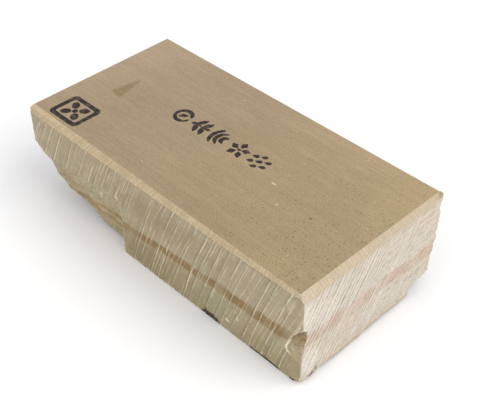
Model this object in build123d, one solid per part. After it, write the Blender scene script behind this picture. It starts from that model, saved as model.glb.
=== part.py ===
"""A natural sharpening whetstone: one sawn and chamfered block of quarried stone, broken away
under one end, with six ink marks that have soaked into its working face.

Units are millimetres. The block lies along X with its working face up. The origin is at the
middle of its footprint, on the surface that it rests on. The front is -Y, and the near end is +X.
"""

import math
import os

from build123d import *

# Sawn block
LENGTH = 205.0
WIDTH = 101.0
HEIGHT = 60.0

# Chamfers of the working face, as (width on top, height on the side) at the start and at the end
FRONT_CHAMFER = ((3.4, 4.0), (0.8, 2.8))
NEAR_END_CHAMFER = ((3.3, 4.1), (2.3, 1.9))
THIN_CHAMFER = ((0.5, 0.5), (0.5, 0.5))

# Broken lower front, towards the far end: (distance from the far end, height at which the sawn
# face stops, depth of the break's foot, height of its foot)
FRONT_BREAK = (
    (-1.0, 37.0, 1.5, 34.0),
    (5.0, 33.5, 3.0, 30.0),
    (16.5, 30.5, 2.5, 20.0),
    (20.5, 30.8, 5.0, 11.0),
    (40.0, 33.0, 6.0, 8.6),
    (50.5, 34.0, 6.0, 1.5),
    (68.0, 38.5, 6.0, 2.0),
    (75.0, 35.0, 5.0, 2.5),
)
BREAK_TOE = 14.0  # from the break's foot to where the underside reaches the resting plane

# Rising underside at the far end: (distance from the far end, heights at the front, the middle
# and the back)
FAR_END_RISE = (
    (-1.0, 29.0, 26.0, 21.0),
    (17.0, 17.0, 17.0, 17.0),
    (23.0, 8.0, 12.0, 15.0),
    (44.0, 5.0, 3.0, 9.0),
    (62.0, -1.0, -1.0, 2.0),
    (80.0, -1.0, -1.0, -1.0),
)

# Broken lower back corner at the near end: (distance from the near end, then (distance from the
# back, height) of the points of its outline)
NEAR_CORNER_BREAK = (
    (-1.0, ((19.4, -1.0), (18.0, 9.6), (9.6, 7.6), (3.8, 9.0), (2.8, 19.0), (-1.0, 35.0))),
    (16.0, ((13.0, -1.0), (12.0, 6.0), (8.0, 6.5), (4.0, 8.0), (2.5, 14.0), (-1.0, 23.0))),
    (44.0, ((-1.0, -1.0), (-1.1, -0.3), (-1.2, 0.3), (-1.4, 1.0), (-1.6, 2.0), (-1.8, 3.0))),
)

# Crumbled lower edge of the near end: how far it runs under the stone, and its (distance from the
# front, height) points
NEAR_LIP_LENGTH = 4.5
NEAR_LIP = ((0, 3.2), (5.5, 1.6), (8, 1.2), (12.5, 3.0), (27.5, 1.0), (50.5, 1.4), (83, 2.0), (101, 2.2))

# Shell-shaped chip on the front vertical edge of the near end, from its foot up: (height, reach
# along the front, reach along the end, how far its floor lies behind the line between them)
CHIP = (
    (17.7, 7.5, 0.15, 0.2),
    (18.6, 9.2, 0.3, 0.5),
    (21.0, 9.8, 0.6, 0.8),
    (25.5, 8.8, 1.3, 0.9),
    (30.5, 6.3, 2.5, 0.8),
    (34.0, 3.8, 3.3, 0.5),
    (36.8, 1.6, 2.8, 0.2),
    (38.4, 0.3, 0.3, 0.0),
)
CHIP_RIM = 0.25  # share of that line, from the front, at which the floor is reached

# Ink marks
INK_DEPTH = 0.15
STROKE = 2.05  # width of a brush stroke
MARK = 12.0  # length of one mark of the column, along X
MARK_GAP = 2.2
COLUMN_MIDDLE = (-7.5, 3.5)
SEAL_LENGTH = 23.0
SEAL_WIDTH = 20.0
SEAL_BAND = 2.9
SEAL_CORNER = 3.0
SEAL_FROM_FAR_END = 21.5
SEAL_FROM_FRONT = 15.0

PAST = 5.0  # how far a cutting body reaches past the stone


def side_section(x, points):
    """A closed outline through (y, z) points, in the plane across the block at x."""
    return Face(Wire.make_polygon([(x, y, z) for y, z in points], close=True))


def ruled_body(sections):
    """The straight-sided solid through outlines that follow each other along X."""
    return Solid.make_loft([section.outer_wire() for section in sections], ruled=True)


def chamfer_cutter(start, end, run, reach):
    """A wedge along X, run long, that takes the edge at y = 0, z = 0 off a block behind it.

    start and end are (width on top, height on the side); reach is how far it covers the outside.
    """
    sections = []
    for x, (width, height) in ((-run / 2, start), (run / 2, end)):
        # The line of the cut is carried on past both faces of the block.
        slope = height / width
        points = ((-reach, -height - reach * slope), (width + reach, reach * slope), (-reach, reach * slope))
        sections.append(side_section(x, points))
    return ruled_body(sections)


def chamfers():
    """The four chamfers round the working face, as cutting bodies."""
    front_start, front_end = FRONT_CHAMFER
    near_start, near_end = NEAR_END_CHAMFER
    thin_start, thin_end = THIN_CHAMFER
    front = chamfer_cutter(front_start, front_end, LENGTH, 1.0)
    near = chamfer_cutter(near_start, near_end, WIDTH, 1.0)
    back = chamfer_cutter(thin_start, thin_end, LENGTH, 1.0)
    far = chamfer_cutter(thin_start, thin_end, WIDTH, 1.0)
    return [
        Pos(0, -WIDTH / 2, HEIGHT) * front,
        Pos(LENGTH / 2, 0, HEIGHT) * Rot(0, 0, 90) * near,
        Pos(0, WIDTH / 2, HEIGHT) * Rot(0, 0, 180) * back,
        Pos(-LENGTH / 2, 0, HEIGHT) * Rot(0, 0, -90) * far,
    ]


def front_break():
    """The lower front that has split away towards the far end."""
    front = -WIDTH / 2
    sections = []
    for from_end, sawn, foot_in, foot_up in FRONT_BREAK:
        slope = (sawn - foot_up) / foot_in
        points = (
            (front - PAST, -PAST),
            (front - PAST, sawn + PAST * slope),
            (front + foot_in, foot_up),
            (front + foot_in + BREAK_TOE, -PAST),
        )
        sections.append(side_section(from_end - LENGTH / 2, points))
    return ruled_body(sections)


def space_under(x, heights):
    """The section at x of a space under the whole width, up to heights at front, middle, back."""
    at_front, at_middle, at_back = heights
    points = (
        (-WIDTH / 2 - PAST, -PAST),
        (-WIDTH / 2 - PAST, at_front),
        (0, at_middle),
        (WIDTH / 2 + PAST, at_back),
        (WIDTH / 2 + PAST, -PAST),
    )
    return side_section(x, points)


def far_end_rise():
    """The space under the far end, where the natural underside climbs."""
    return ruled_body([space_under(from_end - LENGTH / 2, heights) for from_end, *heights in FAR_END_RISE])


def near_corner_break():
    """The lower back corner that is missing at the near end."""
    sections = []
    for from_end, outline in NEAR_CORNER_BREAK:
        points = [(WIDTH / 2 - from_back, height) for from_back, height in outline]
        points += [(WIDTH / 2 + PAST, outline[-1][1]), (WIDTH / 2 + PAST, -PAST), (points[0][0], -PAST)]
        sections.append(side_section(LENGTH / 2 - from_end, points))
    return ruled_body(sections)


def near_lip():
    """The crumbs that are missing along the lower edge of the near end."""
    sections = []
    for from_end, share in ((NEAR_LIP_LENGTH, 0), (0, 1), (-PAST, 1)):
        edge = [(from_front - WIDTH / 2, height * share) for from_front, height in NEAR_LIP]
        first, last = edge[0], edge[-1]
        outside = [(last[0] + PAST, last[1]), (last[0] + PAST, -PAST), (first[0] - PAST, -PAST)]
        points = [*edge, *outside, (first[0] - PAST, first[1])]
        sections.append(side_section(LENGTH / 2 - from_end, points))
    return ruled_body(sections)


def corner_chip():
    """The body that takes the chip off the front vertical edge."""
    corner = Vector(LENGTH / 2, -WIDTH / 2)
    sections = []
    for height, along_front, along_end, depth in CHIP:
        on_front = corner - Vector(along_front, 0)
        on_end = corner + Vector(0, along_end)
        floor = on_front + (on_end - on_front) * CHIP_RIM + Vector(0, depth)
        outside = [on_end + Vector(PAST, 0), corner + Vector(PAST, -PAST), on_front - Vector(0, PAST)]
        outline = Wire.make_polygon([on_front, floor, on_end, *outside], close=True)
        sections.append(Pos(0, 0, height) * outline)
    return Solid.make_loft(sections, ruled=True)


def raw_stone():
    """The block without its ink."""
    block = Pos(0, 0, HEIGHT / 2) * Box(LENGTH, WIDTH, HEIGHT)
    breaks = [far_end_rise(), front_break(), near_corner_break(), near_lip(), corner_chip()]
    for cutter in [*chamfers(), *breaks]:
        block -= cutter
    return block


def stroke(points, widths):
    """A brush stroke along points, in shares of half a mark; widths are in shares of STROKE."""
    path = [Vector(x, y) * (MARK / 2) for x, y in points]
    left = []
    right = []
    for index, place in enumerate(path):
        run = path[min(index + 1, len(path) - 1)] - path[max(index - 1, 0)]
        across = run.normalized().rotate(Axis.Z, 90) * (STROKE * widths[index] / 2)
        left.append(place + across)
        right.insert(0, place - across)
    tail = path[0] + (path[0] - path[1]).normalized() * (STROKE * widths[0] / 2)
    tip = path[-1] + (path[-1] - path[-2]).normalized() * (STROKE * widths[-1] / 2)
    return make_face(Spline(tail, *left, tip, *right, periodic=True))


def arc_stroke(middle, radius, start, end, widths):
    """A curved stroke about middle, from the start angle to the end angle in degrees."""
    points = []
    for index in range(len(widths)):
        angle = math.radians(start + (end - start) * index / (len(widths) - 1))
        points.append((middle[0] + radius * math.cos(angle), middle[1] + radius * math.sin(angle)))
    return stroke(points, widths)


def open_ring():
    """A ring that nearly closes, heavy where the brush was set down, with a dab in it."""
    ring = arc_stroke((0, 0), 0.8, 20, 352, (0.7, 1.2, 1.3, 1.15, 1.0, 0.95, 1.05, 1.2, 0.8, 0.35))
    return [ring, stroke(((-0.28, -0.2), (0.0, 0.02), (0.3, 0.22)), (0.9, 1.3, 0.5))]


def sprig():
    """A bent stem with two pairs of leaves."""
    strokes = [stroke(((0.95, 0.12), (0.3, -0.04), (-0.4, 0.02), (-0.95, -0.1)), (0.5, 0.7, 0.8, 1.1))]
    for root in (-0.62, 0.12):
        for side in (-1, 1):
            leaf = ((root, side * 0.04), (root + 0.3, side * 0.52), (root + 0.5, side * 0.98))
            strokes.append(stroke(leaf, (0.5, 1.5, 0.35)))
    return strokes


def ripples():
    """Three arcs, one inside the next, that open towards the near end."""
    strokes = []
    for radius, half_sweep in ((0.42, 92), (0.98, 62), (1.52, 44)):
        widths = (0.5, 1.05, 1.25, 1.1, 0.4)
        strokes.append(arc_stroke((0.68, 0), radius, 180 - half_sweep, 180 + half_sweep, widths))
    return strokes


def flower():
    """Five petals round a dab."""
    strokes = [stroke(((-0.1, 0.0), (0.12, 0.02)), (0.7, 0.6))]
    for index in range(5):
        angle = math.radians(18 + index * 360 / 5)
        along = [(share * math.cos(angle), share * math.sin(angle)) for share in (0.34, 0.68, 0.98)]
        strokes.append(stroke(along, (0.5, 1.75, 0.8)))
    return strokes


def drops():
    """Slanted drops in three rows."""
    strokes = []
    for along, count in ((-0.72, 2), (-0.02, 3), (0.7, 2)):
        for index in range(count):
            across = (index - (count - 1) / 2) * 0.76
            drop = ((along - 0.22, across - 0.1), (along, across), (along + 0.15, across + 0.08))
            strokes.append(stroke(drop, (0.3, 1.05, 1.2)))
    return strokes


def merged(strokes):
    """One flat shape from strokes that may cross."""
    shape = Sketch() + strokes[0]
    for stroke in strokes[1:]:
        shape += stroke
    return shape


def seal_shape():
    """A blank seal: a band round four plain petals and a dot."""
    outer = RectangleRounded(SEAL_LENGTH, SEAL_WIDTH, SEAL_CORNER)
    inner = RectangleRounded(SEAL_LENGTH - 2 * SEAL_BAND, SEAL_WIDTH - 2 * SEAL_BAND, SEAL_CORNER / 2)
    room = SEAL_WIDTH / 2 - SEAL_BAND
    petal = Pos(room * 0.74, 0) * Ellipse(room * 0.43, room * 0.32)
    petals = [Rot(0, 0, turn) * petal for turn in (42, 138, 222, 318)]
    return merged([outer - inner, Circle(room * 0.24), *petals])


def soaked(shape, place):
    """The ink of a flat shape, from the working face down to its depth."""
    return Pos(place[0], place[1], HEIGHT - INK_DEPTH) * extrude(shape, amount=INK_DEPTH)


def ink_marks():
    """Every ink mark by its node name."""
    column = {
        "ink_ring": open_ring(),
        "ink_sprig": sprig(),
        "ink_ripples": ripples(),
        "ink_flower": flower(),
        "ink_drops": drops(),
    }
    marks = {}
    for index, (name, strokes) in enumerate(column.items()):
        along = COLUMN_MIDDLE[0] + (index - (len(column) - 1) / 2) * (MARK + MARK_GAP)
        marks[name] = soaked(merged(strokes), (along, COLUMN_MIDDLE[1]))
    seal_place = (SEAL_FROM_FAR_END - LENGTH / 2, SEAL_FROM_FRONT - WIDTH / 2)
    marks["ink_seal"] = soaked(seal_shape(), seal_place)
    return marks


def main():
    """Writes one STEP file for each piece."""
    os.makedirs("parts", exist_ok=True)
    marks = ink_marks()
    stone = raw_stone()
    for mark in marks.values():
        stone -= mark
    for name, shape in {"stone_block": stone, **marks}.items():
        export_step(shape, f"parts/{name}.step")


main()
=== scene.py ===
"""The looks of a natural sharpening whetstone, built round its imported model.

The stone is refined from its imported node, so that its size and place come from there. It then gets
the saw scores, file marks, splits and worn edges of the real one as geometry, one Geometry Nodes
tree for each kind of surface. The same patterns colour its materials. The ink marks are grown from
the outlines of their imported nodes.
"""

import logging
import math
from dataclasses import dataclass
from enum import Enum
from typing import Any, Dict, List, Optional, Sequence, Tuple, Union

import bmesh
import bpy
import numpy as np
from mathutils import Matrix, Vector


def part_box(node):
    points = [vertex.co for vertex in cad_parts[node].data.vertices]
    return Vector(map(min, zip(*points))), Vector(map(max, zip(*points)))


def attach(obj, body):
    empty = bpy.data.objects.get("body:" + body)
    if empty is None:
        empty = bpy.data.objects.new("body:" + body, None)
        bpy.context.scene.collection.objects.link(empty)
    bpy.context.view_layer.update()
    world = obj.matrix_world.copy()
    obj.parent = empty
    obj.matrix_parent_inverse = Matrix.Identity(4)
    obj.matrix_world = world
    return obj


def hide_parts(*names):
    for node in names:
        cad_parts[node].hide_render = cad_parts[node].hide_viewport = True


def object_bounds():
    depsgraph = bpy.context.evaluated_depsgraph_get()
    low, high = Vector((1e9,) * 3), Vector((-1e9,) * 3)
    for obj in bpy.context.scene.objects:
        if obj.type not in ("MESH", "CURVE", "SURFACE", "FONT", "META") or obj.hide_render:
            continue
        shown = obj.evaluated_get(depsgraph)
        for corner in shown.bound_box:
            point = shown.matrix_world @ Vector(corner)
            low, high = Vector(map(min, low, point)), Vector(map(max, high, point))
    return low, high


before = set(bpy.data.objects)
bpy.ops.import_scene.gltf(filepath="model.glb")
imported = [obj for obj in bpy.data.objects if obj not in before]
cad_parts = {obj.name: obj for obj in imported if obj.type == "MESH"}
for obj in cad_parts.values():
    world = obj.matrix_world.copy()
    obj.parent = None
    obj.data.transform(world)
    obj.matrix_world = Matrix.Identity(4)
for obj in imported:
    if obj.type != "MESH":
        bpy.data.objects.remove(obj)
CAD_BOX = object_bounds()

log = logging.getLogger("whetstone")

MM = 0.001
FRONT = CAD_BOX[0][1] / MM
NEAR_END = CAD_BOX[1][0] / MM
TOP = CAD_BOX[1][2] / MM
Colour = Tuple[float, float, float]
Axes = Tuple[float, float, float]


class Val:
    """A socket of a node tree that takes part in Python arithmetic."""

    def __init__(self, tree: "Tree", socket: bpy.types.NodeSocket) -> None:
        """Wraps one output socket of that tree."""
        self.tree = tree
        self.socket = socket

    def _math(self, operation: str, first: Any, second: Any = None) -> "Val":
        """Adds a Math node on one or two values."""
        inputs = {0: first} if second is None else {0: first, 1: second}
        return self.tree.node("ShaderNodeMath", {"operation": operation}, inputs)

    def __add__(self, other: Any) -> "Val":
        """self + other."""
        return self._math("ADD", self, other)

    __radd__ = __add__

    def __mul__(self, other: Any) -> "Val":
        """self * other."""
        return self._math("MULTIPLY", self, other)

    __rmul__ = __mul__

    def __sub__(self, other: Any) -> "Val":
        """self - other."""
        return self._math("SUBTRACT", self, other)

    def __rsub__(self, other: Any) -> "Val":
        """other - self."""
        return self._math("SUBTRACT", other, self)

    def __truediv__(self, other: Any) -> "Val":
        """self / other."""
        return self._math("DIVIDE", self, other)

    def __abs__(self) -> "Val":
        """The size of the value without its sign."""
        return self._math("ABSOLUTE", self)

    def least(self, other: Any) -> "Val":
        """The smaller of the two."""
        return self._math("MINIMUM", self, other)

    def most(self, other: Any) -> "Val":
        """The larger of the two."""
        return self._math("MAXIMUM", self, other)

    def root(self) -> "Val":
        """The square root."""
        return self._math("SQRT", self)

    def wave(self) -> "Val":
        """A wave from -1 to 1 that repeats whenever the value grows by one."""
        return self._math("SINE", self * (2 * math.pi))


class Tree:
    """A shader or geometry node tree that is written as expressions."""

    def __init__(self, tree: bpy.types.NodeTree) -> None:
        """Takes an empty node tree."""
        self.tree = tree

    def node(
        self,
        kind: str,
        settings: Optional[Dict[str, Any]] = None,
        inputs: Optional[Dict[Any, Any]] = None,
        output: Union[int, str] = 0,
    ) -> Val:
        """Adds a node.

        Args:
            kind: the node's type.
            settings: its own properties, set before its sockets.
            inputs: values or links by socket name or number.
            output: the socket to return.

        Returns:
            That output, ready for arithmetic.
        """
        made = self.tree.nodes.new(kind)
        for name, value in (settings or {}).items():
            setattr(made, name, value)
        for key, value in (inputs or {}).items():
            self.feed(made.inputs[key], value)
        return Val(self, made.outputs[output])

    def feed(self, socket: bpy.types.NodeSocket, value: Any) -> None:
        """Links or sets one input socket.

        Args:
            socket: the input.
            value: a link, a colour or a constant.
        """
        if isinstance(value, Val):
            self.tree.links.new(value.socket, socket)
        elif isinstance(value, tuple) and len(value) == 3 and len(socket.default_value) == 4:
            socket.default_value = (*value, 1.0)
        else:
            socket.default_value = value

    def place(self) -> Val:
        """The surface point in millimetres, in the piece's own frame.

        Returns:
            The point, for whichever kind of tree this is.
        """
        if self.tree.bl_idname == "GeometryNodeTree":
            point = self.node("GeometryNodeInputPosition")
        else:
            point = self.node("ShaderNodeTexCoord", output="Object")
        return self.scaled(point, 1 / MM)

    def scaled(self, vector: Val, by: Any) -> Val:
        """A vector times a number."""
        return self.node("ShaderNodeVectorMath", {"operation": "SCALE"}, {0: vector, "Scale": by})

    def stretched(self, vector: Val, by: Axes) -> Val:
        """A vector with each axis multiplied by its own number."""
        return self.node("ShaderNodeVectorMath", {"operation": "MULTIPLY"}, {0: vector, 1: by})

    def shifted(self, vector: Val, by: Any) -> Val:
        """A vector plus another."""
        return self.node("ShaderNodeVectorMath", {"operation": "ADD"}, {0: vector, 1: by})

    def axes(self, vector: Val) -> Tuple[Val, Val, Val]:
        """The three parts of a vector.

        Args:
            vector: the vector.

        Returns:
            Its x, y and z.
        """
        split = self.node("ShaderNodeSeparateXYZ", inputs={0: vector})
        sockets = split.socket.node.outputs
        return Val(self, sockets[0]), Val(self, sockets[1]), Val(self, sockets[2])

    def vector(self, x: Any, y: Any, z: Any) -> Val:
        """A vector from three values."""
        return self.node("ShaderNodeCombineXYZ", inputs={0: x, 1: y, 2: z})

    def noise(
        self, vector: Any, size: float, detail: float = 2.0, rough: float = 0.5, by: Optional[Axes] = None
    ) -> Val:
        """Noise from 0 to 1 about 0.5.

        Args:
            vector: the point that is looked up.
            size: how wide its lumps are.
            detail: how many finer noises are added to it.
            rough: how strong each of those is.
            by: how much closer its lumps stand along each axis.

        Returns:
            The noise.
        """
        if by is not None:
            vector = self.stretched(vector, by)
        inputs = {"Vector": vector, "Scale": 1 / size, "Detail": detail, "Roughness": rough}
        return self.node("ShaderNodeTexNoise", {"noise_dimensions": "3D"}, inputs)

    def sway(
        self,
        vector: Any,
        size: float,
        reach: float,
        detail: float = 2.0,
        rough: float = 0.5,
        by: Optional[Axes] = None,
    ) -> Val:
        """The same noise about 0, up to half of reach each way."""
        return (self.noise(vector, size, detail, rough, by) - 0.5) * reach

    def cells(self, vector: Any, size: float) -> Tuple[Val, Val]:
        """Scattered points.

        Args:
            vector: the point that is looked up.
            size: how far apart they lie.

        Returns:
            The distance to the nearest in shares of size, and that one's random value.
        """
        inputs = {"Vector": vector, "Scale": 1 / size}
        near = self.node("ShaderNodeTexVoronoi", {"voronoi_dimensions": "3D"}, inputs, "Distance")
        colour = Val(self, near.socket.node.outputs["Color"])
        return near, self.axes(colour)[0]

    def rungs(self, along: Val, seed: float) -> Tuple[Val, Val]:
        """Unevenly spaced rungs.

        Args:
            along: how far along them the point is, in spacings.
            seed: moves the whole pattern.

        Returns:
            The distance to the nearest in spacings, and that one's random value.
        """
        inputs = {"W": along + seed, "Scale": 1.0, "Randomness": 0.85}
        near = self.node("ShaderNodeTexVoronoi", {"voronoi_dimensions": "1D"}, inputs, "Distance")
        colour = Val(self, near.socket.node.outputs["Color"])
        return near, self.axes(colour)[0]

    def ease(self, value: Any, low: Any, high: Any, start: float = 0.0, end: float = 1.0) -> Val:
        """A smooth step from start at low to end at high."""
        inputs = {0: value, 1: low, 2: high, 3: start, 4: end}
        return self.node("ShaderNodeMapRange", {"interpolation_type": "SMOOTHSTEP"}, inputs)

    def mixed(self, share: Any, first: Any, second: Any) -> Val:
        """Two colours mixed, from the first at share 0 to the second at share 1."""
        settings = {"data_type": "RGBA", "blend_type": "MIX", "clamp_factor": True}
        return self.node("ShaderNodeMix", settings, {0: share, 6: first, 7: second}, 2)

    def shaded(self, colour: Any, by: Any) -> Val:
        """A colour made lighter or darker by a factor.

        Args:
            colour: a link or a constant.
            by: the factor.

        Returns:
            The colour.
        """
        if isinstance(colour, Val):
            return self.scaled(colour, by)
        return self.scaled(self.vector(*colour), by)


class Finish(Enum):
    """The kinds of surface that one block of stone shows."""

    RUBBED = 1
    FILED = 2
    SAWN_SIDE = 3
    SAWN_END = 4
    SPLIT = 5
    SKIN = 6


class Facing(Enum):
    """The two axes that a pattern is laid out along."""

    TOP = (0, 1)
    SIDE = (0, 2)
    END = (1, 2)


@dataclass(frozen=True)
class Patch:
    """A soft oval patch on one face, in millimetres along the two axes of that face."""

    along: float
    up: float
    half_along: float
    half_up: float
    strength: float = 1.0

    def draw(self, tree: Tree, place: Val, facing: Facing, ragged: Val, soft: float) -> Val:
        """How strongly a point lies in the patch.

        Args:
            tree: the tree to add to.
            place: the surface point in millimetres.
            facing: the face that the patch is laid out on.
            ragged: noise about 0 that frays the outline.
            soft: the width of its edge, in shares of its half size.

        Returns:
            A value from 0 to the patch's strength.
        """
        parts = tree.axes(place)
        first, second = facing.value
        right = (parts[first] - self.along) / self.half_along
        over = (parts[second] - self.up) / self.half_up
        away = (right * right + over * over).root() + ragged
        return tree.ease(away, 1 - soft / 2, 1 + soft / 2, self.strength, 0.0)


def draw_all(
    patches: Sequence[Patch], tree: Tree, place: Val, facing: Facing, ragged: Val, soft: float
) -> Val:
    """The strongest of several patches at each point.

    Args:
        patches: the patches.
        tree: the tree to add to.
        place: the surface point in millimetres.
        facing: the face that they are laid out on.
        ragged: noise about 0 that frays their outlines.
        soft: the width of their edges, in shares of their half sizes.

    Returns:
        A value from 0 to 1.
    """
    total = patches[0].draw(tree, place, facing, ragged, soft)
    for patch in patches[1:]:
        total = total.most(patch.draw(tree, place, facing, ragged, soft))
    return total


def front_only(tree: Tree, y: Val, share: float = 1.0) -> Val:
    """That share on the front of the stone and 0 behind it."""
    return tree.ease(y, FRONT + 3.5, FRONT + 5.5, share, 0.0)


@dataclass(frozen=True)
class Scores:
    """Slanted score lines on an upright face, as a saw or a file leaves them.

    Lengths are in millimetres. The lines run from upper right to lower left, seen from outside.
    """

    facing: Facing
    spacing: float
    width: float
    lean: float  # sideways shift of a line for each unit of height, at the foot
    growth: float = 0.0  # how much the lean changes along the face
    bow: float = 0.0  # how much the lean grows with height
    wander: float = 1.0
    seed: float = 0.0
    steady: float = 0.5  # 0 for lines that come and go, 1 for lines that run right through

    def phase(self, tree: Tree, place: Val) -> Val:
        """Where a point's line starts along the face, in spacings.

        Args:
            tree: the tree to add to.
            place: the surface point in millimetres.

        Returns:
            The phase, which is the same all along one line.
        """
        parts = tree.axes(place)
        along, z = parts[self.facing.value[0]], parts[2]
        lean = along * self.growth + self.lean + z * self.bow
        wobble = tree.noise(tree.shifted(place, (self.seed, 0.0, self.seed)), 34.0)
        shifted = along - z * lean + (wobble - 0.5) * (2 * self.wander)
        return shifted / self.spacing

    def lines(self, tree: Tree, place: Val, wider: float = 1.0, aside: float = 0.0) -> Val:
        """Line strength from 0 to about 1.

        Args:
            tree: the tree to add to.
            place: the surface point in millimetres.
            wider: a factor on the width of the lines.
            aside: how far to the side of the lines to draw, in millimetres.

        Returns:
            The strength, which differs between lines and fades in and out along each one.
        """
        phase = self.phase(tree, place) + aside / self.spacing
        near, chance = tree.rungs(phase, self.seed)
        uneven = chance * 0.6 + 0.7
        line = tree.ease(near / uneven, 0.0, wider * self.width / self.spacing / 2, 1.0, 0.0)
        fade_place = tree.vector(phase * 3.1, self.seed, tree.axes(place)[2] * 0.09)
        low = 0.45 - 0.42 * self.steady
        fade = tree.ease(tree.noise(fade_place, 1.0, 1.0), low, low + 0.16)
        return line * fade * (chance * 0.75 + 0.35)

    def furrows(self, tree: Tree, place: Val) -> Val:
        """Close furrows of uneven depth side by side, from about -1 to 1.

        Args:
            tree: the tree to add to.
            place: the surface point in millimetres.

        Returns:
            The height, which fades in and out along each furrow.
        """
        phase = self.phase(tree, place)
        z = tree.axes(place)[2]
        along = tree.vector(phase * 0.5 + self.seed, z * 0.012, self.seed)
        drift = tree.noise(along, 1.0) - 0.5
        level = tree.noise(tree.vector(phase * 0.45, z * 0.05, self.seed), 1.0)
        depth = tree.ease(level, 0.35, 0.6, 0.25)
        wide = (phase + drift * 1.6).wave()
        narrow = (phase * 2.3 + drift * 3.0).wave()
        return (wide * 0.75 + narrow * 0.35) * depth

    def swell(self, tree: Tree, place: Val) -> Val:
        """Soft ridges that follow the lines, from 0 to 1 about 0.5.

        Args:
            tree: the tree to add to.
            place: the surface point in millimetres.

        Returns:
            The height.
        """
        phase = self.phase(tree, place)
        _, _, z = tree.axes(place)
        return tree.noise(tree.vector(phase * 1.2 + self.seed, z * 0.015, self.seed), 1.0, 2.0)


FRONT_SCORES = Scores(Facing.SIDE, 6.3, 1.2, 0.34, -0.0008, 0.0012, wander=1.3, seed=3.7, steady=0.34)
FINE_SCORES = Scores(Facing.SIDE, 3.1, 0.8, 0.38, -0.0006, 0.0012, wander=1.6, seed=8.1, steady=0.2)
END_SCORES = Scores(Facing.END, 3.2, 1.0, 0.66, wander=1.0, seed=5.2, steady=0.6)
END_FINE = Scores(Facing.END, 1.5, 0.7, 0.6, wander=1.2, seed=1.9, steady=0.35)
FRONT_FILE = Scores(Facing.SIDE, 2.5, 1.1, 0.9, -0.008, wander=2.0, seed=12.3, steady=0.3)
END_FILE = Scores(Facing.END, 1.1, 0.6, -0.15, wander=0.8, seed=14.9, steady=0.4)


@dataclass(frozen=True)
class Rock:
    """What runs through the whole stone: its colours, brown bedding band, fine layers and grain."""

    grey: Colour = (0.375, 0.308, 0.208)
    olive: Colour = (0.318, 0.262, 0.148)
    green: Colour = (0.325, 0.315, 0.195)
    umber: Colour = (0.245, 0.178, 0.085)
    rust: Colour = (0.235, 0.150, 0.064)
    band_height: float = 23.2  # of its middle, at the middle of the front
    band_rise: float = 0.058  # towards the near end
    band_tilt: float = -0.028  # its rise towards the back
    band_bend: float = -20.0  # past here, towards the far end, it bends down
    band_dip: float = 0.0025  # by this times the square of the distance past it
    band_half: float = 2.8  # half its height
    band_growth: float = 0.012  # by which that grows towards the near end
    greens: Tuple[Patch, ...] = (
        Patch(44.0, 13.0, 13.0, 8.0, 1.0),
        Patch(84.0, 48.0, 11.0, 9.0, 0.8),
        Patch(34.0, 33.0, 9.0, 5.0, 0.7),
        Patch(84.0, 16.0, 9.0, 6.0, 0.6),
        Patch(-80.0, 38.0, 12.0, 7.0, 0.7),
        Patch(-8.0, 41.0, 5.0, 6.0, 0.6),
        Patch(-45.0, 32.0, 22.0, 8.0, 0.7),
    )
    browns: Tuple[Patch, ...] = (
        Patch(-6.0, 9.0, 20.0, 12.0, 0.8),
        Patch(8.0, 53.0, 8.0, 4.0, 0.45),
        Patch(-40.0, 53.0, 10.0, 4.0, 0.35),
        Patch(16.0, 18.0, 12.0, 5.0, 0.5),
        Patch(-82.0, 22.0, 10.0, 7.0, 0.6),
        Patch(99.5, 31.0, 4.0, 6.0, 0.9),
        Patch(8.0, 42.0, 44.0, 9.0, 0.62),
    )

    def band(self, tree: Tree, place: Val) -> Val:
        """Where the brown bedding band runs, from 0 to 1.

        Args:
            tree: the tree to add to.
            place: the surface point in millimetres.

        Returns:
            The share of brown.
        """
        x, y, z = tree.axes(place)
        wobble = tree.sway(place, 20.0, 5.0, by=(1.0, 1.0, 0.4))
        past = (self.band_bend - x).most(0.0)
        tilt = (y + 50.0) * self.band_tilt
        middle = x * self.band_rise + tilt - past * past * self.band_dip + self.band_height + wobble
        ragged = tree.sway(place, 5.0, 2.4, 3.0, 0.6, by=(1.0, 1.0, 3.0))
        half = x * self.band_growth + self.band_half
        chance = tree.noise(place, 13.0, 1.0, by=(1.0, 1.0, 0.5))
        edge = abs(z - middle) + ragged - half
        return tree.ease(edge, -1.2, 0.7, 1.0, 0.0) * tree.ease(chance, 0.35, 0.55, 0.5)

    def inside(self, tree: Tree, place: Val) -> Val:
        """The colour of the bare stone: greyer above, more olive below, with the brown band.

        Args:
            tree: the tree to add to.
            place: the surface point in millimetres.

        Returns:
            The colour.
        """
        z = tree.axes(place)[2]
        fray = self.mottle(tree, place, 6.0, (1.0, 1.0, 1.5)) * 0.35
        low = tree.ease(z + self.mottle(tree, place, 18.0) * 5.0, 6.0, 36.0, 1.0, 0.0)
        colour = tree.mixed(low * 0.85, self.grey, self.olive)
        greens = draw_all(self.greens, tree, place, Facing.SIDE, fray, 1.1)
        browns = draw_all(self.browns, tree, place, Facing.SIDE, fray, 1.1)
        colour = tree.mixed(greens * 0.52, colour, self.green)
        colour = tree.mixed(browns * 0.55, colour, self.umber)
        return tree.mixed(self.band(tree, place) * 0.93, colour, self.rust)

    def laminae(self, tree: Tree, place: Val, size: float = 1.3) -> Val:
        """Thin bedding layers, from 0 to 1 about 0.5."""
        return tree.noise(place, size, 3.0, 0.6, (0.05, 0.05, 1.0))

    def mottle(self, tree: Tree, place: Val, size: float, by: Optional[Axes] = None) -> Val:
        """Soft patches about 0, from about -1 to 1."""
        return tree.sway(place, size, 3.0, 3.0, 0.55, by)

    def grit(self, tree: Tree, place: Val) -> Val:
        """The grain of a sawn or broken surface about 0, from about -1 to 1."""
        coarse = tree.noise(place, 1.7, 2.0, 0.7)
        return (tree.noise(place, 0.75, 2.0, 0.7) + coarse - 1.0) * 2.6


ROCK = Rock()


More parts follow.
